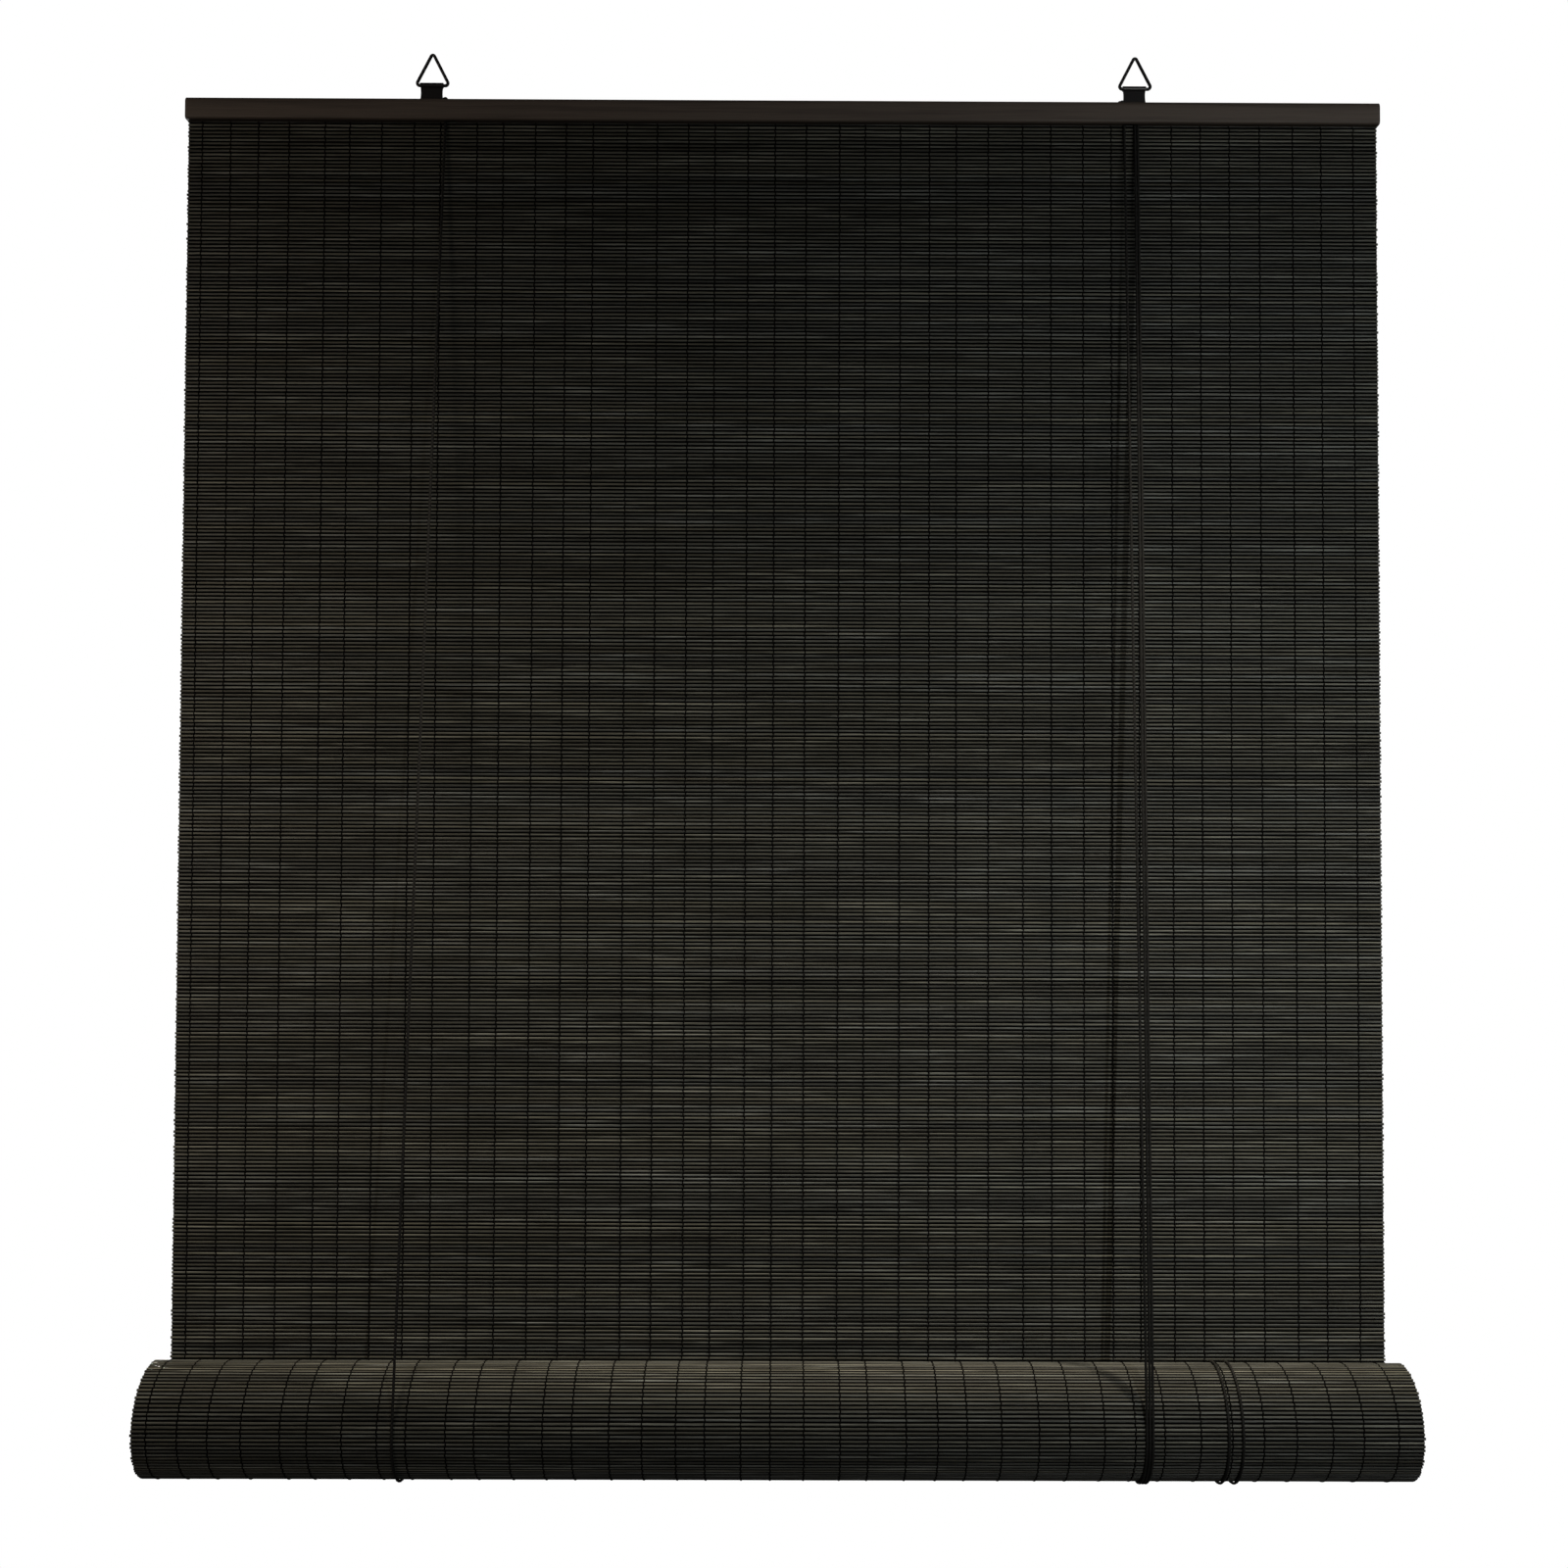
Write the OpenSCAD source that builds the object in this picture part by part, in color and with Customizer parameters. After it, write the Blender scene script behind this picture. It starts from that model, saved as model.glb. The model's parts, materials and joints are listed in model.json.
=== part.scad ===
// Bamboo roll-up blind, hung from two wire rings and rolled up part of the way.
// Origin: middle of the headrail's back face. +X is to the right seen from the front, +Y points
// into the wall behind the blind, +Z is up. All lengths are in millimetres.

/* [Blind] */
// Width of the mat and of the battens
blind_w = 900; // [700:5:1400]
// Length that hangs, from the underside of the headrail to the axis of the roll
hang_len = 957; // [950:1:1600]

/* [Mat] */
// Distance from one slat to the next
slat_pitch = 2.8; // [2.6:0.1:4]
// Thickness of a slat
slat_t = 1.2; // [1:0.05:1.6]
// Width of the groove between two slats, at their faces
groove_w = 1.05; // [0.5:0.05:1.3]
// Depth of that groove on each face
groove_d = 0.4; // [0.2:0.05:0.45]
// Number of warp threads that tie the slats together
thread_count = 39; // [20:1:60]
// Width of a warp thread
thread_w = 0.8; // [0.5:0.1:1.5]
// How far a warp thread stands out from the slats
thread_t = 0.3; // [0.2:0.05:0.5]
// Distance from the side edge to the outermost thread
thread_margin = 14.5; // [8:0.5:30]

/* [Roll] */
// Outer diameter of the roll
roll_d = 80; // [76:1:110]
// Distance from one turn to the next
turn_pitch = 2.2; // [2:0.1:3]
// Number of turns
turn_count = 3.45; // [2.45:0.5:4.45]
// Width of the batten at the mat's lower end, inside the roll
end_batten_w = 18; // [14:1:20]
// Thickness of that batten
end_batten_t = 6; // [4:0.5:9]

/* [Headrail] */
// Height of the two battens
rail_h = 17; // [17:0.5:26]
// Thickness of the front batten
front_t = 8; // [8:0.5:12]
// Thickness of the rear batten
rear_t = 7; // [6.5:0.5:10]
// Rounding of the front batten's upper front edge
front_top_r = 4.5; // [2:0.5:6]
// Rounding of its lower front edge
front_low_r = 2; // [1:0.25:3]
// Rounding of the rear batten's rear edges
rear_edge_r = 1; // [0.5:0.25:2]
// How far the mat goes up into the rebate of the front batten
rebate_h = 10; // [8:0.5:10.2]
// Shank diameter of the screws that join the battens
screw_d = 2.4; // [2:0.1:2.8]
// Head diameter of those screws
screw_head_d = 4.8; // [4:0.2:5.6]
// Length of those screws
screw_len = 12; // [10:0.5:14]
// Depth of a screw's axis below the top of the headrail
screw_drop = 3.2; // [3:0.1:4]

/* [Hangers] */
// Distance between the two hanger straps
hanger_span = 532; // [400:2:640]
// Width of a strap
strap_w = 17.5; // [10:0.5:17.5]
// Thickness of the strap's sheet
strap_t = 0.8; // [0.5:0.05:1]
// Gap left between the two folded legs of the strap
fold_gap = 0.2; // [0.1:0.05:0.4]
// Depth of the strap's legs in the headrail
strap_embed = 6.8; // [6:0.1:6.8]
// Height of the ring's lower bar above the headrail
bar_rise = 11.5; // [6:0.5:16]
// Wire diameter of a ring
wire_d = 2.4; // [1.5:0.1:2.6]
// Length of the ring's lower side, corner to corner before rounding
ring_base = 25.6; // [25.4:0.2:30]
// Height of the ring, lower side to apex before rounding
ring_h = 25; // [18:0.2:32]
// Bend radius of the ring's lower corners, at the middle of the wire
ring_bend = 2; // [1.4:0.1:2]
// Bend radius of the ring's apex, at the middle of the wire
ring_tip = 1.4; // [1.4:0.1:2]
// How far the rings have slid to the right in their straps
ring_slide = 0.6; // [0:0.1:0.7]

/* [Cords] */
// Diameter of a cord
cord_d = 2; // [1.6:0.1:2.2]
// Diameter of the pegs that the cords turn round inside the headrail
peg_d = 6; // [5:0.25:6.5]
// Height of the right peg above the headrail's underside
peg_rise = 4.5; // [4:0.1:4.6]
// How far a peg sits in the front batten
peg_seat = 1.6; // [1:0.1:2.4]
// Diameter of the knots on the headrail
knot_d = 5; // [4:0.25:6]
// Diameter of the knots at the ends of the pull cord
tail_knot_d = 6; // [5:0.25:7]
// Straight length of cord that rises with the roll, above the point where it leaves the roll
lead_len = 60; // [50:1:70]

/* [Hidden] */
$fn = 64;

// Clearances: between things that turn, between cords and what they run past, round screws,
// and what a cut runs past the face that it starts from
running_gap = 0.08;
cord_gap = 0.4;
split_gap = 0.15; // between a lift cord's stretches, where they ride on different bodies
screw_gap = 0.05;
overrun = 1;
drawn_share = 0.97; // what bending leaves of the wire's radius
wire_sides = 16;
wire_step = 16; // degrees between points of a ring's bend

// Sideways places of the cords, measured from the hangers towards the right: where the cords leave the
// headrail, where they lie on the roll and where their spare ends go up again
left_exit_off = 11;
left_roll_off = -2;
right_exit_off = -4;
right_roll_off = -8;
left_tail_off = 47;
right_tail_off = 57;
back_cord_inset = 9;
hanger_x = hanger_span / 2;
left_exit_x = -hanger_x + left_exit_off;
left_roll_x = -hanger_x + left_roll_off;
right_exit_x = hanger_x + right_exit_off;
right_roll_x = hanger_x + right_roll_off;
left_tail_x = hanger_x + left_tail_off;
right_tail_x = hanger_x + right_tail_off;

// Depths: the plane where the battens meet, the mat and the threads on its two faces
y_seam = -rear_t;
mat_depth = slat_t + 2 * thread_t;
y_back_slat = y_seam - thread_t;
y_mat = y_back_slat - slat_t / 2;
y_front_slat = y_back_slat - slat_t;
y_rebate = y_seam - mat_depth;
y_front_face = y_seam - front_t;

// Heights: headrail, mat and roll axis
z_top = rail_h / 2;
z_under = -rail_h / 2;
z_mat_top = z_under + rebate_h;
z_axis = z_under - hang_len;

// Roll: the mat's middle starts at the back, level with the axis, and winds down and forward
roll_r = roll_d / 2;
mid_r = roll_r - slat_t / 2;
y_axis = y_mat - mid_r;
full_turn = 360;
turn_share = 0.8; // share of a turn that keeps its radius before it sinks to the next one
wind_end = full_turn * turn_count;
slat_angle = full_turn / round(PI * 2 * mid_r / slat_pitch);
groove_angle = full_turn * groove_w / (PI * 2 * roll_r);
plain_step = 9; // degrees between points where the mat is plain
tail_turn_in = 20; // degrees by which the last flat stretch turns inwards

// Cords
cord_r = cord_d / 2;
cord_sides = 8;
bend_step = 30; // degrees between points of a cord's bend
wrap_step = 8; // degrees between points of a cord on the roll
wrap_r = roll_r + thread_t + cord_gap + cord_r;
peg_r = peg_d / 2;
inner_bend = peg_r + running_gap + cord_r;
outer_bend = inner_bend + cord_d + running_gap;
channel_room = cord_r + running_gap * 3;
y_cord = y_rebate - channel_room;
y_channel = y_cord - channel_room;
z_right_peg = z_under + peg_rise;
z_run = z_right_peg + outer_bend;
z_left_peg = z_run - inner_bend;
bundle_step = cord_d + running_gap * 2;
y_back_hole = -rear_t / 2;
elbow_r = cord_d * 3;
tail_low = 40; // angle on the roll at which the pull cord turns sideways
tail_end = 312; // angle on the roll at which it ends, behind the roll's top
strap_depth = 2 * strap_t + fold_gap;
y_strap = y_seam - strap_depth / 2;
z_bar = z_top + bar_rise;
z_screw = z_top - screw_drop;
extra_screw_shares = [-0.478, -0.144, 0, 0.144, 0.478]; // of the blind's width

batten_colour = "#2b2420";
slat_colour = "#33342c";
thread_colour = "#191a18";
steel_colour = "#26232a";
cord_colour = "#22211e";

// Helpers

// A bar along X with the lower corner of its section at [y, z]
module bar(y, z, depth, height) {
    translate([-blind_w / 2, y, z]) cube([blind_w, depth, height]);
}

// What is cut off to round an edge along X: the edge is at [y, z], the bar lies towards [sy, sz]
module edge_cut(y, z, r, sy, sz) {
    translate([-blind_w / 2 - overrun, y, z]) difference() {
        translate([0, min(0, sy * r) - (sy > 0 ? overrun : 0), min(0, sz * r) - (sz > 0 ? overrun : 0)])
            cube([blind_w + 2 * overrun, r + overrun, r + overrun]);
        translate([0, sy * r, sz * r]) rotate([0, 90, 0]) cylinder(h = blind_w + 2 * overrun, r = r);
    }
}

// A round rod from p to q
module rod(p, q, r) {
    d = q - p;
    translate(p) rotate([0, acos(d.z / norm(d)), atan2(d.y, d.x)]) cylinder(h = norm(d), r = r);
}

function unit(v) = v / norm(v);
function steps(a, b, most) = let(n = ceil(abs(b - a) / most)) [for (i = [0:n]) a + (b - a) * i / n];

// A tube swept along its route: one ring of corners at each point, turned as little as possible
module tube(route, r, sides) {
    n = len(route);
    along = [for (i = [0:n - 1]) unit(route[min(i + 1, n - 1)] - route[max(i - 1, 0)])];
    first = unit(cross(along[0], abs(along[0].x) < 0.5 ? [1, 0, 0] : [0, 1, 0]));
    across = [for (i = 0, u = first; i < n; i = i + 1,
        u = i < n ? unit(u - along[i] * (u * along[i])) : u) u];
    corners = [for (i = [0:n - 1], k = [0:sides - 1]) let(a = full_turn * k / sides)
        route[i] + r * (cos(a) * across[i] + sin(a) * cross(along[i], across[i]))];
    walls = [for (i = [0:n - 2], k = [0:sides - 1]) let(m = (k + 1) % sides, j = i * sides)
        [j + k, j + sides + k, j + sides + m, j + m]];
    near_end = [for (k = [0:sides - 1]) k];
    far_end = [for (k = [sides - 1:-1:0]) (n - 1) * sides + k];
    polyhedron(corners, concat(walls, [near_end, far_end]));
}

module cord(route) {
    color(cord_colour) tube(route, cord_r, cord_sides);
}

// Points of a bend in the XZ plane round [x, z] at depth y, 0 along +X and 90 along +Z
function bend(x, y, z, path_r, a, b, most = bend_step) =
    [for (t = steps(a, b, most)) [x + path_r * cos(t), y, z + path_r * sin(t)]];

// Angles on the roll: 0 is at the back, 90 below, 180 in front, 270 on top
function on_roll(x, r, a) = [x, y_axis + r * cos(a), z_axis - r * sin(a)];

// Angle at which a cord from [y, z] above touches the circle of the wraps, on its front or back side
function touch_angle(y, z, side) =
    let(dy = y - y_axis, dz = z - z_axis)
    270 + atan2(dy, dz) + side * acos(wrap_r / norm([dy, dz]));
front_touch = touch_angle(y_cord, z_under, -1);
back_touch = touch_angle(y_back_hole, z_under, 1) - full_turn;

// Points of a cord round the roll, at x, between two angles on the roll
function wrap_arc(x, a, b) = [for (t = steps(a, b, wrap_step)) on_roll(x, wrap_r, t)];

// Top of the straight lead above the roll, on the line from the headrail's exit to the touching point
function lead_top(exit_x, roll_x) =
    let(low = on_roll(roll_x, wrap_r, front_touch), high = [exit_x, y_cord, z_under])
    low + (high - low) * lead_len / norm(high - low);

// Headrail

// Room for the cords, the pegs and the straps, cut into the back of the front batten
module cord_room() {
    depth = y_seam - y_channel + overrun;
    z_ceiling = z_run + channel_room;
    left_side = left_exit_x - channel_room;
    left_room = inner_bend + peg_r + 2 * channel_room;
    right_side = right_exit_x - inner_bend - channel_room;
    right_room = inner_bend + outer_bend + 2 * channel_room;
    translate([left_exit_x, y_channel, z_run - channel_room])
        cube([right_exit_x - left_exit_x, depth, 2 * channel_room]);
    translate([left_side, y_channel, z_under - overrun])
        cube([left_room, depth, z_ceiling - z_under + overrun]);
    translate([right_side, y_channel, z_under - overrun])
        cube([right_room, depth, z_ceiling - z_under + overrun]);
}

module strap_pocket(x) {
    translate([x - strap_w / 2 - screw_gap, y_seam - strap_depth, z_top - strap_embed - screw_gap])
        cube([strap_w + 2 * screw_gap, strap_depth + overrun, strap_embed + screw_gap + overrun]);
}

module peg(x, z) {
    translate([x, y_channel - peg_seat, z]) rotate([-90, 0, 0])
        cylinder(h = y_rebate - y_channel + peg_seat - running_gap, r = peg_r);
}

left_peg_x = left_exit_x + inner_bend;

// One countersunk screw along Y, its head flush with the back of the headrail
module screw(x, gap) {
    head_depth = (screw_head_d - screw_d) / 2;
    translate([x, 0, z_screw]) rotate([90, 0, 0]) {
        cylinder(h = head_depth, r1 = screw_head_d / 2 + gap, r2 = screw_d / 2 + gap);
        cylinder(h = screw_len + gap, r = screw_d / 2 + gap);
    }
}

module each_screw(gap) {
    for (x = [-hanger_x, hanger_x]) screw(x, gap);
    for (share = extra_screw_shares) screw(share * blind_w, gap);
}

module front_batten() {
    color(batten_colour) difference() {
        bar(y_front_face, z_under, front_t, rail_h);
        bar(y_rebate, z_under - overrun, mat_depth + overrun, rebate_h + overrun);
        edge_cut(y_front_face, z_top, front_top_r, 1, -1);
        edge_cut(y_front_face, z_under, front_low_r, 1, 1);
        cord_room();
        strap_pocket(-hanger_x);
        strap_pocket(hanger_x);
        peg(left_peg_x, z_left_peg);
        peg(right_exit_x, z_right_peg);
        each_screw(screw_gap);
    }
}

module rear_batten() {
    color(batten_colour) difference() {
        bar(y_seam, z_under, rear_t, rail_h);
        edge_cut(0, z_top, rear_edge_r, -1, -1);
        edge_cut(0, z_under, rear_edge_r, -1, 1);
        each_screw(screw_gap);
        for (side = [-1, 1]) translate([side * (hanger_x - back_cord_inset), y_back_hole, z_under - overrun])
            cylinder(h = rail_h + 2 * overrun, r = cord_r + screw_gap);
    }
}

module headrail_screws() {
    color(steel_colour) each_screw(0);
}

module left_guide_peg() {
    color(steel_colour) peg(left_peg_x, z_left_peg);
}

module right_guide_peg() {
    color(steel_colour) peg(right_exit_x, z_right_peg);
}

// Hangers: a strip folded round the ring's lower bar, its two legs held between the battens

module hanger_strap(x) {
    eye_r = wire_d / 2 + running_gap;
    leg_len = bar_rise + strap_embed;
    waist_r_share = 1.5; // of the leg's length
    waist_cut_share = 0.04; // of the strap's width
    waist_r = leg_len * waist_r_share;
    color(steel_colour) translate([x, y_strap, z_bar]) difference() {
        translate([-strap_w / 2, 0, 0]) union() {
            rotate([0, 90, 0]) cylinder(h = strap_w, r = eye_r + strap_t);
            translate([0, -strap_depth / 2, -leg_len]) cube([strap_w, strap_depth, leg_len]);
        }
        translate([-strap_w / 2 - overrun, 0, 0]) rotate([0, 90, 0])
            cylinder(h = strap_w + 2 * overrun, r = eye_r);
        translate([-strap_w / 2 - overrun, -fold_gap / 2, -leg_len - overrun])
            cube([strap_w + 2 * overrun, fold_gap, leg_len + overrun]);
        for (side = [-1, 1])
            translate([side * (strap_w * (0.5 - waist_cut_share) + waist_r), -strap_depth, -bar_rise / 2])
                rotate([-90, 0, 0]) cylinder(h = 2 * strap_depth, r = waist_r);
        translate([0, -strap_depth, z_screw - z_bar]) rotate([-90, 0, 0])
            cylinder(h = 2 * strap_depth, r = screw_d / 2 + screw_gap);
    }
}

module left_hanger_strap() {
    hanger_strap(-hanger_x);
}

module right_hanger_strap() {
    hanger_strap(hanger_x);
}

// A wire triangle with rounded corners; its lower side is the round bar that turns in the strap
module hanger_ring(x) {
    half = ring_base / 2;
    slope = atan2(ring_h, half);
    wire_r = wire_d / 2;
    corner_x = half - ring_bend / tan(slope / 2);
    apex_z = ring_h - ring_tip / cos(slope);
    start = [corner_x - wire_r / 2, 0, 0];
    loop = concat([start], bend(corner_x, 0, ring_bend, ring_bend, -90, 90 - slope, wire_step),
        bend(0, 0, apex_z, ring_tip, 90 - slope, 90 + slope, wire_step),
        bend(-corner_x, 0, ring_bend, ring_bend, 90 + slope, 270, wire_step), [-start]);
    color(steel_colour) translate([x, y_strap, z_bar]) {
        rod([-corner_x, 0, 0], [corner_x, 0, 0], wire_r);
        tube(loop, wire_r * drawn_share, wire_sides);
    }
}

module left_hanger_ring() {
    hanger_ring(-hanger_x + ring_slide);
}

module right_hanger_ring() {
    hanger_ring(hanger_x + ring_slide);
}

// Mat

hang_slats = round((z_mat_top - z_axis) / slat_pitch);
hang_pitch = (z_mat_top - z_axis) / hang_slats;

// One face of the hanging mat from top to bottom: a groove and a flat for each slat
function hang_face(face, groove) = [
    for (i = [0:hang_slats - 1]) let(z = z_mat_top - i * hang_pitch)
        each [[groove, z], [face, z - groove_w / 2], [face, z - hang_pitch + groove_w / 2]],
    [groove, z_axis]
];

function reversed(list) = [for (i = [len(list) - 1:-1:0]) list[i]];

// An outline of [y, z] points, drawn out along X over the blind's width
module across(points, width) {
    translate([-width / 2, 0, 0]) rotate([90, 0, 90]) linear_extrude(width) polygon(points);
}

module hanging_mat() {
    front = hang_face(y_front_slat, y_front_slat + groove_d);
    back = hang_face(y_back_slat, y_back_slat - groove_d);
    color(slat_colour) across(concat(front, reversed(back)), blind_w);
}

module hanging_threads() {
    span = blind_w - 2 * thread_margin;
    step = span / (thread_count - 1);
    color(thread_colour) for (i = [0:thread_count - 1], y = [y_rebate, y_back_slat])
        translate([-span / 2 + i * step - thread_w / 2, y, z_axis])
            cube([thread_w, thread_t, z_mat_top - z_axis]);
}

// Roll: each turn keeps its radius, then sinks to the next one behind the roll's top
function sink(a) =
    let(turn = floor(a / full_turn), part = a / full_turn - turn)
    turn + (part < turn_share ? 0 : (1 - cos(180 * (part - turn_share) / (1 - turn_share))) / 2);
function turn_r(a, out) = mid_r + out - turn_pitch * sink(a);
function turn_point(a, out) =
    [y_axis + turn_r(a, out) * cos(a), z_axis - turn_r(a, out) * sin(a)];

outer_slats = round(full_turn / slat_angle);
plain_angles = [for (a = [full_turn:plain_step:wind_end]) a, wind_end];

// The last, flat stretch of mat, which the bottom batten is fixed to
tail_start = turn_point(wind_end, 0);
tail_heading = wind_end + 90 + tail_turn_in;
tail_along = [cos(tail_heading), -sin(tail_heading)];
tail_out = [cos(tail_heading - 90), -sin(tail_heading - 90)];
function tail_point(along, out) = tail_start + tail_along * along + tail_out * out;

module rolled_mat() {
    half = slat_t / 2;
    outer = [for (i = [0:outer_slats - 1]) let(a = i * slat_angle)
        each [turn_point(a, half - groove_d), turn_point(a + groove_angle / 2, half),
            turn_point(a + slat_angle - groove_angle / 2, half)]];
    outer_rest = [for (a = plain_angles) turn_point(a, half)];
    inner_rest = [for (a = reversed(plain_angles)) turn_point(a, -half)];
    inner = [for (a = [full_turn - plain_step:-plain_step:plain_step]) turn_point(a, -half)];
    start = [turn_point(groove_angle / 2, -half), turn_point(0, groove_d - half)];
    flat_end = [tail_point(end_batten_w, half), tail_point(end_batten_w, -half)];
    color(slat_colour)
        across(concat(outer, outer_rest, flat_end, inner_rest, inner, start), blind_w);
}

module bottom_batten() {
    near = end_batten_t / 2;
    half = slat_t / 2;
    color(batten_colour) across([tail_point(near, -half), tail_point(end_batten_w, -half),
        tail_point(end_batten_w, -half - end_batten_t), tail_point(near, -half - end_batten_t)], blind_w);
}

// Cords: each lift cord is knotted on the rear batten, goes down behind the mat, round the roll and
// up in front, and turns over the pegs in the headrail to end as a pull cord on the right

module cord_knot(x) {
    color(cord_colour) translate([x, y_back_hole, z_top + knot_d / 2]) sphere(d = knot_d);
}

module left_cord_knot() {
    cord_knot(-hanger_x + back_cord_inset);
}

module right_cord_knot() {
    cord_knot(hanger_x - back_cord_inset);
}

// Down through the rear batten and on behind the mat to the roll
module cord_back(exit_x, roll_x) {
    exit = [exit_x, y_back_hole, z_under];
    low = on_roll(roll_x, wrap_r, back_touch);
    cord([exit + [0, 0, rail_h], exit, low + unit(exit - low) * split_gap]);
}

module left_cord_back() {
    cord_back(-hanger_x + back_cord_inset, left_roll_x);
}

module right_cord_back() {
    cord_back(hanger_x - back_cord_inset, right_roll_x - bundle_step);
}

// Under the roll and up to the end of the straight lead in front
module cord_wrap(exit_x, roll_x) {
    cord(concat(wrap_arc(roll_x, back_touch, front_touch), [lead_top(exit_x, roll_x)]));
}

module left_cord_wrap() {
    cord_wrap(left_exit_x, left_roll_x);
}

module right_cord_wrap() {
    cord_wrap(right_exit_x - inner_bend, right_roll_x - bundle_step);
}

// In front of the mat, from the lead up to the headrail
module cord_fall(exit_x, roll_x) {
    cord([lead_top(exit_x, roll_x), [exit_x, y_cord, z_under]]);
}

module left_cord_front() {
    cord_fall(left_exit_x, left_roll_x);
}

module right_cord_front() {
    cord_fall(right_exit_x - inner_bend, right_roll_x - bundle_step);
}

module left_tail_fall() {
    cord_fall(right_exit_x + outer_bend, right_roll_x + bundle_step);
}

module right_tail_fall() {
    cord_fall(right_exit_x + inner_bend, right_roll_x);
}

// Inside the headrail: the left cord runs across and comes out on the right
module left_cord_run() {
    cord(concat([[left_exit_x, y_cord, z_under]],
        bend(left_peg_x, y_cord, z_left_peg, inner_bend, 180, 90),
        bend(right_exit_x, y_cord, z_right_peg, outer_bend, 90, 0),
        [[right_exit_x + outer_bend, y_cord, z_under]]));
}

// Inside the headrail: the right cord turns back down over its peg
module right_cord_turn() {
    cord(concat([[right_exit_x - inner_bend, y_cord, z_under]],
        bend(right_exit_x, y_cord, z_right_peg, inner_bend, 180, 0),
        [[right_exit_x + inner_bend, y_cord, z_under]]));
}

// A pull cord's spare end: down the front of the roll, sideways below it, up the front again and
// over the top, where its knot lies between the roll and the mat
module tail_wrap(exit_x, roll_x, side_x, low) {
    sideways = concat(bend(roll_x + elbow_r, 0, 0, elbow_r, 180, 90),
        bend(side_x - elbow_r, 0, 0, elbow_r, 90, 0));
    cord(concat([lead_top(exit_x, roll_x)], wrap_arc(roll_x, front_touch, low + wrap_step),
        [for (p = sideways) on_roll(p.x, wrap_r, low) + p.z * [0, sin(low), cos(low)]],
        wrap_arc(side_x, low + wrap_step, tail_end)));
}

beside_share = 1.2; // distance of the two spare ends below the roll, as a share of the bundle's step
next_low = tail_low - full_turn * bundle_step * beside_share / (PI * 2 * wrap_r);

module left_tail_wrap() {
    tail_wrap(right_exit_x + outer_bend, right_roll_x + bundle_step, left_tail_x, tail_low);
}

module right_tail_wrap() {
    tail_wrap(right_exit_x + inner_bend, right_roll_x, right_tail_x, next_low);
}

module tail_knots() {
    knot_r = tail_knot_d / 2;
    at_r = wrap_r - cord_r + knot_r;
    beyond = full_turn * knot_r / (PI * 2 * at_r);
    color(cord_colour) for (x = [left_tail_x, right_tail_x])
        translate(on_roll(x, at_r, tail_end + beyond)) sphere(r = knot_r);
}

front_batten();
rear_batten();
headrail_screws();
left_hanger_strap();
right_hanger_strap();
left_hanger_ring();
right_hanger_ring();
left_guide_peg();
right_guide_peg();
hanging_mat();
hanging_threads();
rolled_mat();
bottom_batten();
left_cord_run();
right_cord_turn();
left_cord_front();
right_cord_front();
left_tail_fall();
right_tail_fall();
left_cord_back();
right_cord_back();
left_cord_knot();
right_cord_knot();
left_cord_wrap();
right_cord_wrap();
left_tail_wrap();
right_tail_wrap();
tail_knots();
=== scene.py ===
"""The looks of a dark bamboo roll-up blind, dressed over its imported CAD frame.

What the CAD knows is read from the frame's boxes; the rest are named fields of the classes below.
Lengths are in metres in the row frame: +X to the right, +Y into the wall, +Z up.
"""

import json
import logging
import math
from dataclasses import dataclass
from enum import Enum
from typing import Callable, Sequence

import bpy
from mathutils import Matrix, Vector


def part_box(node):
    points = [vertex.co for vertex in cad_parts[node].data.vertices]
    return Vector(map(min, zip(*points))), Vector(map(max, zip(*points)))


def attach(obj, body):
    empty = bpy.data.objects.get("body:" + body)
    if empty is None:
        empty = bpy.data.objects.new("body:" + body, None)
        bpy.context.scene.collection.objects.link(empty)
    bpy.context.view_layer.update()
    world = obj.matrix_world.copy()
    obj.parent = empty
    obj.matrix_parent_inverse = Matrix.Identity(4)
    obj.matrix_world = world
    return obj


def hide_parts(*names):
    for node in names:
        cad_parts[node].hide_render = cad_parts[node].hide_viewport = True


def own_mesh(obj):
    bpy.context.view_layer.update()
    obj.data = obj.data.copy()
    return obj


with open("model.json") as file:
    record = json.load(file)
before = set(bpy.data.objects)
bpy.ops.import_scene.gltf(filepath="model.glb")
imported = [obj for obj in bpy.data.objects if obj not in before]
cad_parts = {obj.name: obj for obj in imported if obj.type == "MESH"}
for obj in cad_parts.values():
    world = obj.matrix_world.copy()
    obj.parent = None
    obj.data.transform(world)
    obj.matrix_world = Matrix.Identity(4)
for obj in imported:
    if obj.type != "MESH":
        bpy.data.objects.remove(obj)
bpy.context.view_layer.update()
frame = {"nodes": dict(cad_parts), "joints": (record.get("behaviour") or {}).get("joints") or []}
FULL_TURN = 360.0
ROLL_TOP = 270.0
log = logging.getLogger("blind")

Triple = tuple[float, float, float]
Colour = tuple[float, float, float]
Route = list[Vector]
Value = object
Node = bpy.types.Node
Piece = bpy.types.Object
Socket = bpy.types.NodeSocket


class Body(str, Enum):
    """Bodies of the frame that pieces ride on."""

    HEADRAIL = "headrail"
    LEFT_RING = "left_ring"
    RIGHT_RING = "right_ring"
    SLING = "cord_sling"
    ROLL = "roll"


class Slot(str, Enum):
    """Material slots of the record."""

    BATTEN = "stained_batten"
    SLATS = "bamboo_slats"
    THREAD = "warp_thread"
    STEEL = "dark_steel"
    CORD = "lift_cord"


class Side(Enum):
    """Face of the mat that stitches lie on: towards the viewer or towards the wall."""

    FRONT = -1.0
    BACK = 1.0


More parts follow.
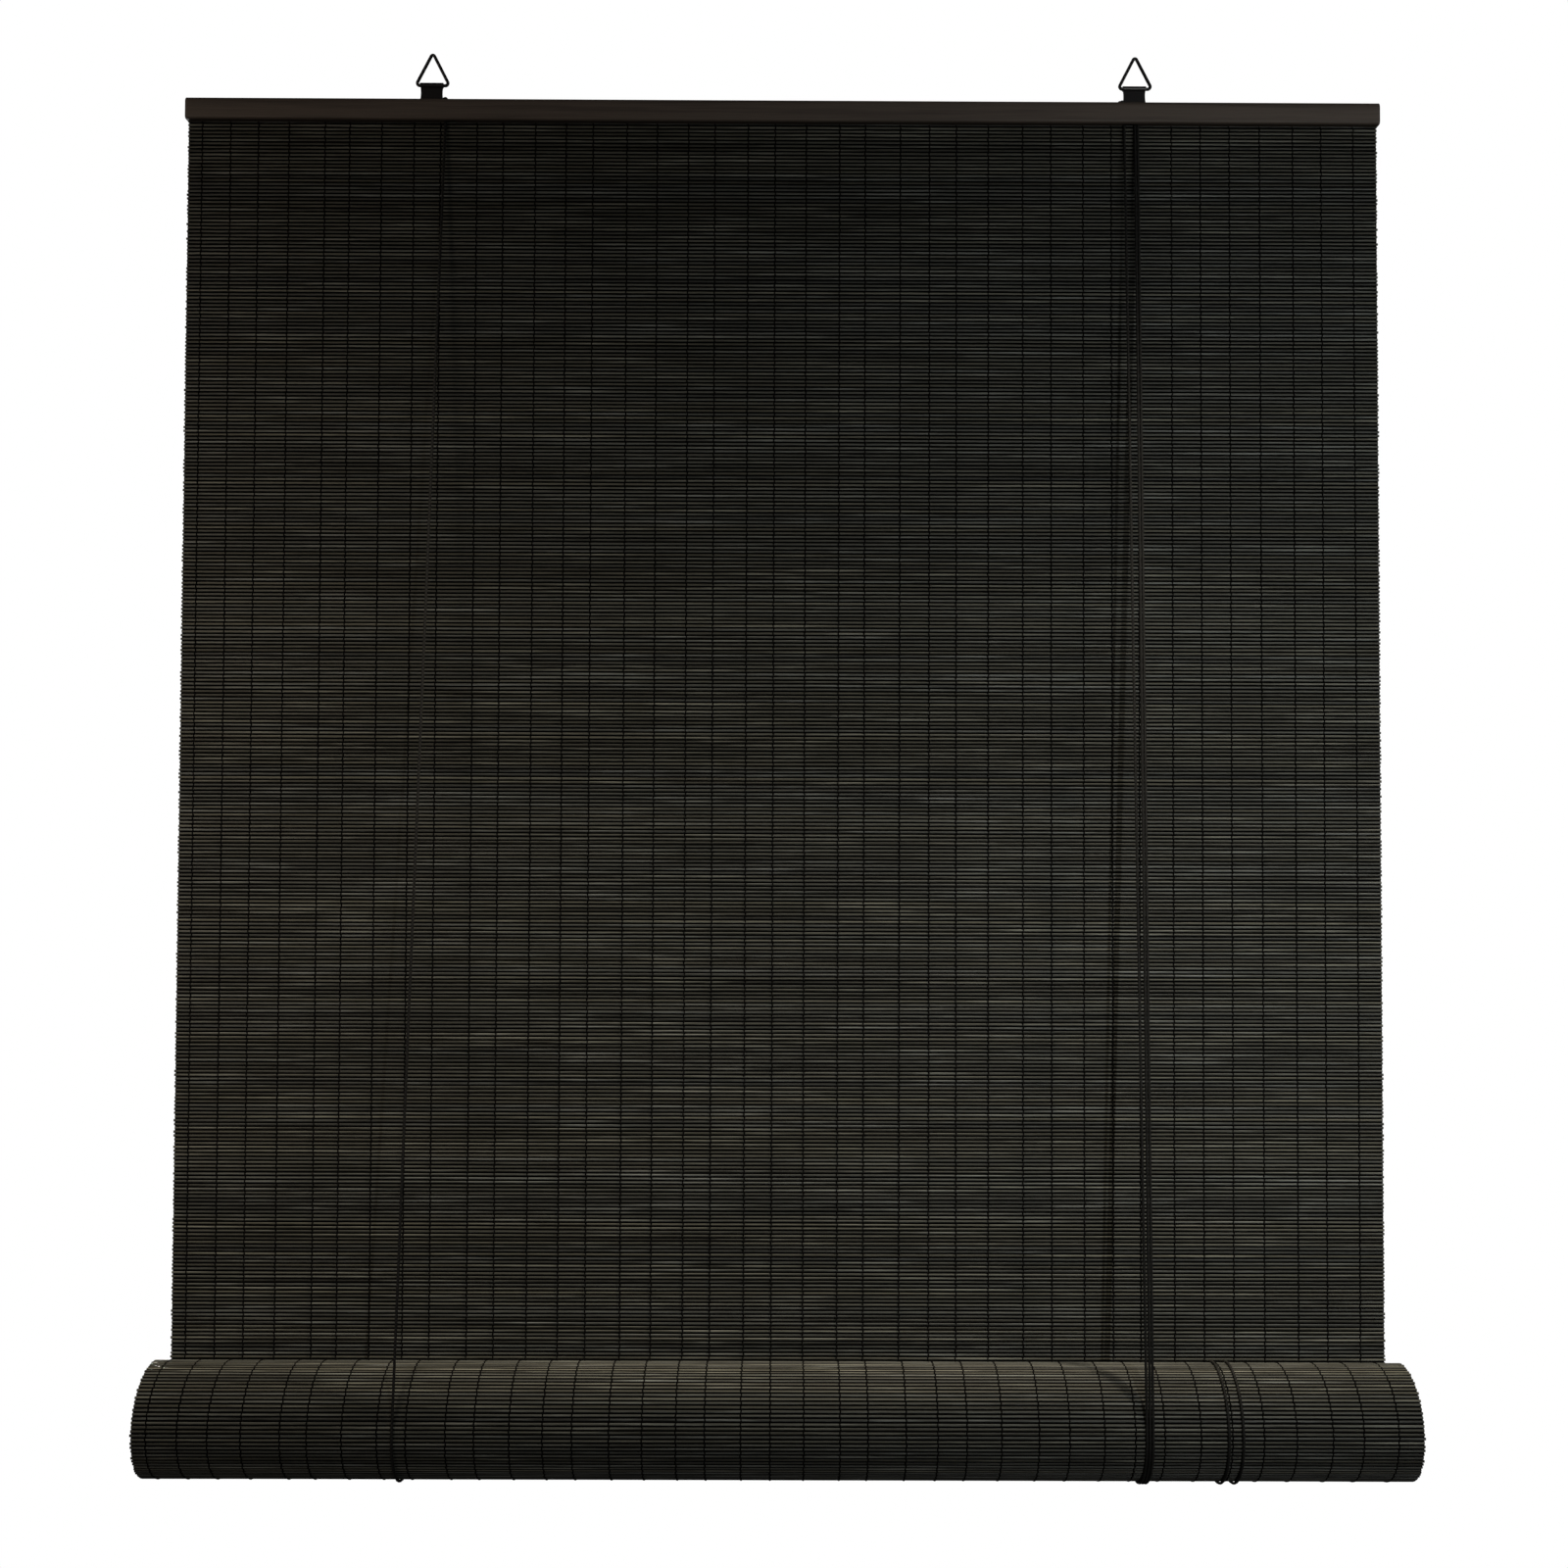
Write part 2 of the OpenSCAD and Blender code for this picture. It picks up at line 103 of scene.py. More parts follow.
class Graph:
    """A node tree with short ways to add and join nodes."""

    def __init__(self, tree: bpy.types.NodeTree) -> None:
        """Wraps a shader or geometry node tree."""
        self.tree = tree

    def add(self, kind: str, feeds: dict[str, Value] | None = None, **settings: Value) -> Node:
        """Adds one node.

        Args:
            kind: the node's type name.
            feeds: socket name to a value or to another node's output socket.
            settings: properties of the node itself.

        Returns:
            The new node.
        """
        node = self.tree.nodes.new(kind)
        for name, value in settings.items():
            setattr(node, name, value)
        for name, value in (feeds or {}).items():
            self.feed(node.inputs[name], value)
        return node

    def take(self, kind: str, feeds: dict[str, Value] | None = None, **settings: Value) -> Socket:
        """Adds one node in the same way and returns its first output."""
        return self.add(kind, feeds, **settings).outputs[0]

    def feed(self, socket: Socket, value: Value) -> None:
        """Links an output to a socket, or sets the socket's own value.

        Args:
            socket: the input socket.
            value: an output socket, or a plain value.
        """
        if isinstance(value, Socket):
            self.tree.links.new(value, socket)
        else:
            socket.default_value = value

    def calculate(self, kind: str, operation: str, values: Sequence[Value]) -> Socket:
        """Adds a node that calculates.

        Args:
            kind: the node's type name.
            operation: the operation's name.
            values: its inputs in order, plain values or output sockets.

        Returns:
            The result's socket.
        """
        node = self.add(kind, operation=operation)
        for socket, value in zip(node.inputs, values):
            self.feed(socket, value)
        return node.outputs[0]

    def math(self, operation: str, *values: Value) -> Socket:
        """Calculates with numbers."""
        return self.calculate("ShaderNodeMath", operation, values)

    def vector(self, operation: str, *values: Value) -> Socket:
        """Calculates with vectors or colours."""
        return self.calculate("ShaderNodeVectorMath", operation, values)

    def weigh(self, *parts: tuple[Value, float]) -> Socket:
        """Adds up numbers, each times its share.

        Args:
            parts: numbers with their shares.

        Returns:
            The sum's socket.
        """
        total, *rest = [self.math("MULTIPLY", value, share) for value, share in parts]
        for product in rest:
            total = self.math("ADD", total, product)
        return total

    def combine(self, x: Value, y: Value = 0.0, z: Value = 0.0) -> Socket:
        """Makes a vector of three parts."""
        return self.take("ShaderNodeCombineXYZ", {"X": x, "Y": y, "Z": z})

    def noise(self, at: Socket, stretch: Triple, detail: float = 3.0) -> Socket:
        """Adds noise, about 0.2 to 0.8, with so many features to a metre along X, Y and Z."""
        scaled = self.vector("MULTIPLY", at, stretch)
        return self.take("ShaderNodeTexNoise", {"Vector": scaled, "Scale": 1.0, "Detail": detail})

    def ramp(self, value: Socket, stops: Sequence[tuple[float, Colour]]) -> Socket:
        """Adds a colour ramp.

        Args:
            value: where on the ramp.
            stops: places and colours.

        Returns:
            The colour's socket.
        """
        node = self.add("ShaderNodeValToRGB", {"Fac": value})
        elements = node.color_ramp.elements
        while len(elements) < len(stops):
            elements.new(0.5)
        for element, (place, colour) in zip(elements, stops):
            element.position = place
            element.color = (*colour, 1.0)
        return node.outputs["Color"]


@dataclass(frozen=True)
class Finish:
    """A material: its name, the record's slot and what its shader is fed with."""

    name: str
    slot: Slot
    dark: Colour
    light: Colour
    roughness: float = 0.5
    gloss: float = 0.4
    relief: float = 0.0
    speckle: Triple = (700.0, 700.0, 700.0)

    def material(self) -> bpy.types.Material:
        """Returns the finish's material, made at the first call."""
        known = bpy.data.materials.get(self.name)
        if known is not None:
            return known
        material = bpy.data.materials.new(self.name)
        material.use_nodes = True
        graph = Graph(material.node_tree)
        shader = material.node_tree.nodes["Principled BSDF"]
        shader.inputs["Roughness"].default_value = self.roughness
        shader.inputs["Specular IOR Level"].default_value = self.gloss
        at = graph.add("ShaderNodeTexCoord").outputs["Object"]
        grain = self.paint(graph, shader, at)
        if self.relief > 0.0:
            bump = graph.take("ShaderNodeBump", {"Height": grain, "Distance": self.relief, "Strength": 1.0})
            graph.feed(shader.inputs["Normal"], bump)
        log.info("finish %s", self.name)
        return material

    def paint(self, graph: Graph, shader: Node, at: Socket) -> Socket:
        """Feeds the shader's colour; other finishes override this.

        Args:
            graph: the material's tree.
            shader: its shader node.
            at: object coordinates.

        Returns:
            A height for the relief, 0 to 1.
        """
        grain = graph.noise(at, self.speckle, 2.0)
        graph.feed(shader.inputs["Base Color"], graph.ramp(grain, [(0.3, self.dark), (0.7, self.light)]))
        return grain


@dataclass(frozen=True)
class StainedWood(Finish):
    """A stained batten with grain and lighter streaks along X."""

    streak: Colour = (0.05, 0.042, 0.034)
    coarse_grain: Triple = (4.0, 190.0, 190.0)
    fine_grain: Triple = (26.0, 1500.0, 1500.0)
    coarse_share: float = 0.65
    fine_share: float = 0.35

    def paint(self, graph: Graph, shader: Node, at: Socket) -> Socket:
        """Feeds grain and streaks along X. Arguments and return value are those of Finish.paint."""
        coarse = graph.noise(at, self.coarse_grain)
        fine = graph.noise(at, self.fine_grain)
        grain = graph.weigh((coarse, self.coarse_share), (fine, self.fine_share))
        colour = graph.ramp(grain, [(0.32, self.dark), (0.55, self.light), (0.72, self.streak)])
        graph.feed(shader.inputs["Base Color"], colour)
        return fine


@dataclass(frozen=True)
class BambooStain(Finish):
    """Stained slats: own tone and hue, fibres and patches along their length, painted glints, painted groove
    shade.
    """

    pale: Colour = (0.085, 0.084, 0.074)
    # Colour of the painted glints: painted highlights added along sparse streaks of the slats.
    painted_glint: Colour = (0.07, 0.072, 0.068)
    warm: Colour = (1.03, 1.0, 0.9)
    cool: Colour = (0.97, 1.0, 1.03)
    # Painted shade on the slat sides: they darken where nearer the middle of the thickness than this share,
    # to no less than the least share below.
    painted_shade_depth: float = 0.75
    least_groove_light: float = 0.03
    patch_grain: Triple = (9.0, 330.0, 330.0)
    fibre_grain: Triple = (70.0, 2600.0, 2600.0)
    # Size of the streaks that carry the painted glints.
    painted_glint_grain: Triple = (15.0, 420.0, 420.0)
    tone_share: float = 0.3
    patch_share: float = 0.7
    fibre_share: float = 0.55
    rough_share: float = 0.3

    def paint(self, graph: Graph, shader: Node, at: Socket) -> Socket:
        """Feeds tone, patches, fibres, painted glints and painted shade on the slat sides. Arguments and
        return value are those of Finish.paint.
        """
        tone, hue, depth = (graph.add("ShaderNodeAttribute", attribute_name=name).outputs["Fac"]
                            for name in ("tone", "hue", "depth"))
        patch = graph.noise(at, self.patch_grain)
        fibre = graph.noise(at, self.fibre_grain)
        # Painted highlight: sparse lighter streaks stand in for glints of light on the glossy slats.
        streak = graph.noise(at, self.painted_glint_grain)
        mix = graph.weigh((tone, self.tone_share), (patch, self.patch_share),
                          (graph.math("SUBTRACT", fibre, 0.5), self.fibre_share))
        colour = graph.ramp(mix, [(0.2, self.dark), (0.58, self.light), (0.95, self.pale)])
        painted_glints = graph.ramp(streak, [(0.52, (0.0, 0.0, 0.0)), (0.75, self.painted_glint)])
        tint = graph.ramp(hue, [(0.1, self.warm), (0.9, self.cool)])
        stained = graph.vector("MULTIPLY", graph.vector("ADD", colour, painted_glints), tint)
        # Painted shade: the slat sides, down in the grooves between slats, are darkened towards the middle of
        # their thickness.
        groove_light_share = graph.math("MULTIPLY", graph.math("SUBTRACT", depth, self.painted_shade_depth), 1 / (1 - self.painted_shade_depth))
        groove_light_share = graph.math("MAXIMUM", groove_light_share, self.least_groove_light)
        shade = graph.combine(groove_light_share, groove_light_share, groove_light_share)
        graph.feed(shader.inputs["Base Color"], graph.vector("MULTIPLY", stained, shade))
        rough = graph.math("MULTIPLY", patch, self.rough_share)
        rough = graph.math("ADD", rough, self.roughness - self.rough_share / 2)
        graph.feed(shader.inputs["Roughness"], rough)
        return fibre


@dataclass(frozen=True)
class Palette:
    """All finishes of the blind."""

    batten: Finish = StainedWood(
        "stained_wood", Slot.BATTEN, (0.032, 0.0245, 0.0203), (0.069, 0.0531, 0.0431), 0.5, 0.2, 0.00008)
    slats: Finish = BambooStain(
        "bamboo_stain", Slot.SLATS, (0.01, 0.0098, 0.0084), (0.041, 0.0404, 0.0348), 0.5, 0.12, 0.00005)
    thread: Finish = Finish(
        "warp_cotton", Slot.THREAD, (0.0008, 0.0008, 0.0008), (0.002, 0.002, 0.0018), 0.9, 0.03)
    steel: Finish = Finish(
        "black_steel", Slot.STEEL, (0.005, 0.0043, 0.0046), (0.009, 0.0076, 0.0082), 0.3, 0.35)
    cord: Finish = Finish(
        "braided_cord", Slot.CORD, (0.002, 0.0019, 0.0017), (0.006, 0.0056, 0.005), 0.7, 0.15)


@dataclass(frozen=True)
class Layout:
    """Places that the whole blind shares, taken from the frame."""

    mat_low: Vector
    mat_high: Vector
    under: float
    top: float
    axis_y: float
    axis_z: float
    roll_r: float
    lift: float

    @classmethod
    def from_frame(cls) -> "Layout":
        """Reads the mat, the headrail and the roll from their CAD boxes."""
        mat_low, mat_high = box("hanging_mat")
        rail_low, rail_high = box("front_batten")
        roll_low, _ = box("rolled_mat")
        roll_r = mat_low.z - roll_low.z
        slat_t = mat_high.y - mat_low.y
        axis_y = (mat_low.y + mat_high.y) / 2 - roll_r + slat_t / 2
        joint = next(joint for joint in frame["joints"] if joint["name"] == "roll_lift")
        lift = max(abs(limit) for limit in joint["range_m"])
        return cls(mat_low, mat_high, rail_low.z, rail_high.z, axis_y, mat_low.z, roll_r, lift)

    @property
    def slat_t(self) -> float:
        """Thickness of the mat's slats."""
        return self.mat_high.y - self.mat_low.y

    @property
    def width(self) -> float:
        """Width of the mat."""
        return self.mat_high.x - self.mat_low.x

    @property
    def mat_y(self) -> float:
        """Depth of the mat's middle."""
        return (self.mat_low.y + self.mat_high.y) / 2

    def on_roll(self, x: float, r: float, angle: float) -> Vector:
        """Returns a point about the roll's axis; 0 degrees is at the back, 90 below and 180 in front."""
        turn = math.radians(angle)
        return Vector((x, self.axis_y + r * math.cos(turn), self.axis_z - r * math.sin(turn)))

    def touch(self, y: float, z: float, r: float, side: Side) -> float:
        """Returns the angle at which a line from above touches a circle about the axis.

        Args:
            y: depth of the line's upper end.
            z: height of that end.
            r: radius of the circle.
            side: face of the roll that the line comes down on.
        """
        dy, dz = y - self.axis_y, z - self.axis_z
        lean = math.degrees(math.atan2(dy, dz))
        spread = math.degrees(math.acos(r / math.hypot(dy, dz)))
        return ROLL_TOP + lean + side.value * spread - (FULL_TURN if side is Side.BACK else 0.0)


def box(node: str) -> tuple[Vector, Vector]:
    """Returns the low and high corners of a CAD node's box."""
    low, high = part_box(node)
    return Vector(low), Vector(high)


def add_object(name: str, mesh: bpy.types.Mesh, finish: Finish | None = None) -> Piece:
    """Puts a mesh into the scene.

    Args:
        name: the object's name.
        mesh: its mesh.
        finish: its finish, if the mesh has none yet.

    Returns:
        The new object.
    """
    piece = bpy.data.objects.new(name, mesh)
    bpy.context.scene.collection.objects.link(piece)
    if finish is not None:
        mesh.materials.append(finish.material())
    return piece


def polyline(name: str, points: Route) -> Piece:
    """Makes a mesh of edges that a geometry tree can follow.

    Args:
        name: the object's name.
        points: the line's points in order.

    Returns:
        The object that holds the line.
    """
    mesh = bpy.data.meshes.new(name)
    mesh.from_pydata(points, [(i, i + 1) for i in range(len(points) - 1)], [])
    return add_object(name, mesh)


def densify(route: Route, step: float) -> Route:
    """Returns the route with points about a step apart.

    Args:
        route: points of the route.
        step: longest distance between two points.
    """
    dense = [route[0]]
    for start, end in zip(route, route[1:]):
        count = max(1, math.ceil((end - start).length / step))
        dense += [start.lerp(end, i / count) for i in range(1, count + 1)]
    return dense


def length_of(route: Route) -> float:
    """Returns the length of a route."""
    return sum((end - start).length for start, end in zip(route, route[1:]))


def cut(route: Route, start: float, end: float) -> Route:
    """Returns the part of a route between two lengths along it.

    Args:
        route: points of the route.
        start: length at which the part begins.
        end: length at which it ends.
    """
    part: Route = []
    run = 0.0
    for here, there in zip(route, route[1:]):
        step = (there - here).length
        if not part and run + step > start:
            part.append(here.lerp(there, (start - run) / step))
        if part and run + step >= end:
            return part + [here.lerp(there, (end - run) / step)]
        if part:
            part.append(there)
        run += step
    return part


def arc(centre: Vector, first: Vector, second: Vector, start: float, end: float,
        most: float = 6.0) -> Route:
    """Returns the points of an arc.

    Args:
        centre: middle of the arc.
        first: radius vector at 0 degrees.
        second: radius vector at 90 degrees.
        start: first angle in degrees.
        end: last angle in degrees.
        most: degrees between two points at most.
    """
    count = max(1, math.ceil(abs(end - start) / most))
    turns = [math.radians(start + (end - start) * i / count) for i in range(count + 1)]
    return [centre + first * math.cos(turn) + second * math.sin(turn) for turn in turns]


@dataclass(frozen=True)
class Sweep:
    """A section of lobes that is swept along a route, and twists as it goes."""

    radius: float
    sides: int = 12
    lobes: int = 0
    lobe_share: float = 0.0
    lay_length: float = 0.007
    closed: bool = False

    def mesh(self, name: str, route: Route,
             reference: Callable[[Vector], Vector] | None = None) -> bpy.types.Mesh:
        """Sweeps the section.

        Args:
            name: the mesh's name.
            route: points that the middle follows.
            reference: a direction that keeps the section from turning, for a closed route.

        Returns:
            A smooth, closed mesh.
        """
        count = len(route)
        corners: Route = []
        across: Vector | None = None
        run = 0.0
        for i, point in enumerate(route):
            before, after = (route[i - 1], route[(i + 1) % count]) if self.closed else (
                route[max(i - 1, 0)], route[min(i + 1, count - 1)])
            along = (after - before).normalized()
            run += (point - route[i - 1]).length if i else 0.0
            if reference is not None:
                across = reference(point)
            elif across is None:
                across = Vector((1, 0, 0)) if abs(along.x) < 0.5 else Vector((0, 1, 0))
            across = (across - along * across.dot(along)).normalized()
            third = along.cross(across)
            twist = math.tau * run / self.lay_length if self.lobes else 0.0
            for k in range(self.sides):
                turn = math.tau * k / self.sides
                r = self.radius * (1.0 + self.lobe_share * math.cos(self.lobes * turn - twist))
                corners.append(point + r * (math.cos(turn) * across + math.sin(turn) * third))
        spans = count if self.closed else count - 1
        faces: list[Sequence[int]] = []
        for i in range(spans):
            here, there = i * self.sides, (i + 1) % count * self.sides
            for k in range(self.sides):
                m = (k + 1) % self.sides
                faces.append((here + k, here + m, there + m, there + k))
        if not self.closed:
            faces.append(tuple(range(self.sides - 1, -1, -1)))
            faces.append(tuple(range((count - 1) * self.sides, count * self.sides)))
        mesh = bpy.data.meshes.new(name)
        mesh.from_pydata(corners, [], faces)
        mesh.polygons.foreach_set("use_smooth", [len(face) == 4 for face in faces])
        mesh.update()
        return mesh


class PathTree(Graph):
    """A geometry tree that sets pieces along the host's line, with named inputs."""

    def __init__(self, name: str, **inputs: str) -> None:
        """Starts the tree.

        Args:
            name: the tree's name.
            inputs: its inputs and their kinds, which are Float, Int, Vector or Material.
        """
        super().__init__(bpy.data.node_groups.new(name, "GeometryNodeTree"))
        sockets = self.tree.interface
        sockets.new_socket("Line", in_out="INPUT", socket_type="NodeSocketGeometry")
        sockets.new_socket("Geometry", in_out="OUTPUT", socket_type="NodeSocketGeometry")
        for title, kind in inputs.items():
            sockets.new_socket(title, in_out="INPUT", socket_type="NodeSocket" + kind)
        self.given = self.tree.nodes.new("NodeGroupInput").outputs
        self.exit = self.tree.nodes.new("NodeGroupOutput")

    def rows(self, count: Value) -> tuple[Socket, Socket]:
        """Sets points along the host's line.

        Args:
            count: number of points.

        Returns:
            The points, and the angle about X by which the line leans at each.
        """
        curve = self.take("GeometryNodeMeshToCurve", {"Mesh": self.given["Line"]})
        points = self.add("GeometryNodeCurveToPoints", {"Curve": curve, "Count": count}, mode="COUNT")
        heading = self.add("ShaderNodeSeparateXYZ", {"Vector": points.outputs["Tangent"]}).outputs
        lean = self.math("ARCTAN2", self.math("MULTIPLY", heading["Y"], -1.0), heading["Z"])
        return points.outputs["Points"], lean

    def place(self, axis: str) -> Socket:
        """Returns each point's place along an axis."""
        at = self.take("GeometryNodeInputPosition")
        return self.add("ShaderNodeSeparateXYZ", {"Vector": at}).outputs[axis]

    def read(self, name: str) -> Socket:
        """Returns a number that is stored on the points."""
        return self.take("GeometryNodeInputNamedAttribute", {"Name": name}, data_type="FLOAT")

    def seat(self, points: Value, piece: Value, **feeds: Value) -> Socket:
        """Sets a piece on every point."""
        return self.take("GeometryNodeInstanceOnPoints", {"Points": points, "Instance": piece, **feeds})

    def move(self, geometry: Value, offset: Value) -> Socket:
        """Moves every point by its offset."""
        return self.take("GeometryNodeSetPosition", {"Geometry": geometry, "Offset": offset})

    def realize(self, instances: Value) -> Socket:
        """Makes real geometry of instances."""
        return self.take("GeometryNodeRealizeInstances", {"Geometry": instances})

    def random(self, low: float, high: float, seed: Value) -> Socket:
        """Adds a random number for each element.

        Args:
            low: smallest value.
            high: largest value.
            seed: seed, a number or a socket.

        Returns:
            The number's socket.
        """
        node = self.add("FunctionNodeRandomValue", {"Seed": seed}, data_type="FLOAT")
        floats = [socket for socket in node.inputs if socket.type == "VALUE"]
        floats[0].default_value, floats[1].default_value = low, high
        return next(socket for socket in node.outputs if socket.type == "VALUE")

    def store(self, geometry: Value, name: str, value: Value, domain: str) -> Socket:
        """Stores a number on each element of the domain, which is POINT or INSTANCE."""
        feeds = {"Geometry": geometry, "Name": name, "Value": value}
        return self.take("GeometryNodeStoreNamedAttribute", feeds, data_type="FLOAT", domain=domain)

    def end(self, geometry: Value, material: Value) -> None:
        """Gives the geometry its material and ends the tree.

        Args:
            geometry: realized geometry.
            material: the material's socket.
        """
        smooth = self.take("GeometryNodeSetShadeSmooth", {"Geometry": geometry, "Shade Smooth": True})
        dressed = self.take("GeometryNodeSetMaterial", {"Geometry": smooth, "Material": material})
        self.feed(self.exit.inputs["Geometry"], dressed)

    def bake(self, host: Piece, values: dict[str, Value]) -> Piece:
        """Runs the tree on a host and leaves a plain mesh in its place.

        Args:
            host: object with the line.
            values: the tree's inputs by name.

        Returns:
            The host.
        """
        modifier = host.modifiers.new(self.tree.name, "NODES")
        modifier.node_group = self.tree
        for item in self.tree.interface.items_tree:
            if item.item_type == "SOCKET" and item.in_out == "INPUT" and item.name in values:
                modifier[item.identifier] = values[item.name]
        host.update_tag()
        graph = bpy.context.evaluated_depsgraph_get()
        graph.update()
        made = host.evaluated_get(graph)
        mesh = bpy.data.meshes.new_from_object(made, preserve_all_data_layers=True, depsgraph=graph)
        host.modifiers.remove(modifier)
        host.data = mesh
        log.info("piece %s: %d faces", host.name, len(mesh.polygons))
        return host


class SlatTree(PathTree):
    """Slats along a line: each a flat bar along X, its edges broken, with its own tone, width and lean."""

    TILT: float = 0.07
    LENGTH_SHARES: tuple[float, float] = (0.998, 1.0)
    DEPTH_SHARES: tuple[float, float] = (0.86, 1.0)
    WIDTH_SHARES: tuple[float, float] = (0.94, 1.06)
    WAVES_TO_A_METRE: float = 5.0
    HEIGHT_WAVE: tuple[float, float] = (0.0, 0.05)
    DEPTH_WAVE: tuple[float, float] = (50.0, 0.3)
    DEPTH_WANDER_SHARE: float = 0.5

    def __init__(self) -> None:
        """Builds the tree."""
        super().__init__("slats_along_a_line", Count="Int", Segments="Int", Length="Float", Width="Float",
                         Thickness="Float", Wander="Float", Edge="Float", Seed="Int", Material="Material")
        given = self.given
        points, lean = self.rows(given["Count"])
        outline = self.take("GeometryNodeCurvePrimitiveQuadrilateral",
                            {"Width": given["Thickness"], "Height": given["Width"]})
        outline = self.take("GeometryNodeFilletCurve",
                            {"Curve": outline, "Count": 1, "Radius": given["Edge"]}, mode="POLY")
        half = self.math("MULTIPLY", given["Length"], 0.5)
        start = self.combine(self.math("MULTIPLY", half, -1.0))
        middle = self.take("GeometryNodeCurvePrimitiveLine", {"Start": start, "End": self.combine(half)})
        knots = self.math("ADD", given["Segments"], 1.0)
        middle = self.take("GeometryNodeResampleCurve", {"Curve": middle, "Count": knots})
        bar = self.take("GeometryNodeCurveToMesh",
                        {"Curve": middle, "Profile Curve": outline, "Fill Caps": True})
        half_thickness = self.math("MULTIPLY", given["Thickness"], 0.5)
        depth = self.math("DIVIDE", self.math("ABSOLUTE", self.place("Y")), half_thickness)
        bar = self.store(bar, "depth", depth, "POINT")
        seeds = [self.math("ADD", given["Seed"], float(number)) for number in range(6)]
        tilt = self.random(-self.TILT, self.TILT, seeds[0])
        shares = (self.LENGTH_SHARES, self.DEPTH_SHARES, self.WIDTH_SHARES)
        scale = self.combine(*(self.random(*share, seed) for share, seed in zip(shares, seeds[1:])))
        slats = self.seat(points, bar, Rotation=self.combine(self.math("ADD", lean, tilt)), Scale=scale)
        for name, seed in zip(("tone", "hue"), seeds[4:]):
            slats = self.store(slats, name, self.random(0.0, 1.0, seed), "INSTANCE")
        slats = self.store(slats, "place", self.take("GeometryNodeInputIndex"), "INSTANCE")
        self.end(self.waver(self.realize(slats), given["Wander"]), given["Material"])

    def waver(self, geometry: Value, wander: Value) -> Socket:
        """Moves the slats a little up and down along their length, neighbours together.

        Args:
            geometry: the realized slats.
            wander: how far they wander.

        Returns:
            The moved geometry.
        """
        along = self.math("MULTIPLY", self.place("X"), self.WAVES_TO_A_METRE)
        number = self.read("place")
        shifts = []
        for phase, near in (self.HEIGHT_WAVE, self.DEPTH_WAVE):
            spot = self.combine(along, self.math("MULTIPLY", number, near), phase)
            noise = self.take("ShaderNodeTexNoise", {"Vector": spot, "Scale": 1.0, "Detail": 2.0})
            shifts.append(self.math("MULTIPLY", self.math("SUBTRACT", noise, 0.5), wander))
        inwards = self.math("MULTIPLY", shifts[1], self.DEPTH_WANDER_SHARE)
        return self.move(geometry, self.combine(0.0, inwards, shifts[0]))


class StitchTree(PathTree):
    """Warp threads: a slanted stitch over every gap between two slats, at each of the threads."""

    ASTRAY: float = 0.00012
    SIDES: int = 4

    def __init__(self) -> None:
        """Builds the tree."""
        super().__init__("stitches_along_a_line", Count="Int", Threads="Int", First="Float", Step="Float",
                         Jitter="Float", Out="Float", Size="Vector", Slant="Float", Seed="Int",
                         Material="Material")
        given = self.given
        points, lean = self.rows(given["Count"])
        row = self.store(points, "lean", lean, "POINT")
        row = self.store(row, "slat", self.take("GeometryNodeInputIndex"), "POINT")
        columns = self.take("GeometryNodeMeshLine", {
            "Count": given["Threads"], "Start Location": self.combine(given["First"]),
            "Offset": self.combine(given["Step"])})
        shift = self.math("MULTIPLY", self.random(-1.0, 1.0, given["Seed"]), given["Jitter"])
        grid = self.realize(self.seat(self.move(columns, self.combine(shift)), row))
        lean_here, slat_here = self.read("lean"), self.read("slat")
        astray = self.random(-self.ASTRAY, self.ASTRAY, self.math("ADD", given["Seed"], 1.0))
        normal = self.combine(astray, self.math("MULTIPLY", self.math("COSINE", lean_here), given["Out"]),
                              self.math("MULTIPLY", self.math("SINE", lean_here), given["Out"]))
        odd = self.math("SUBTRACT", self.math("MULTIPLY", self.math("MODULO", slat_here, 2.0), 2.0), 1.0)
        stitch = self.take("GeometryNodeMeshCylinder", {"Vertices": self.SIDES, "Radius": 0.5, "Depth": 1.0})
        stitch = self.take("GeometryNodeTransform", {"Geometry": stitch, "Scale": given["Size"]})
        slant = self.combine(0.0, self.math("MULTIPLY", odd, given["Slant"]))
        turn, slope = (self.take("FunctionNodeEulerToRotation", {"Euler": euler})
                       for euler in (self.combine(lean_here), slant))
        both = self.take("FunctionNodeRotateRotation", {"Rotation": turn, "Rotate By": slope},
                         rotation_space="LOCAL")
        stitches = self.seat(self.move(grid, normal), stitch, Rotation=both)
        self.end(self.realize(stitches), given["Material"])


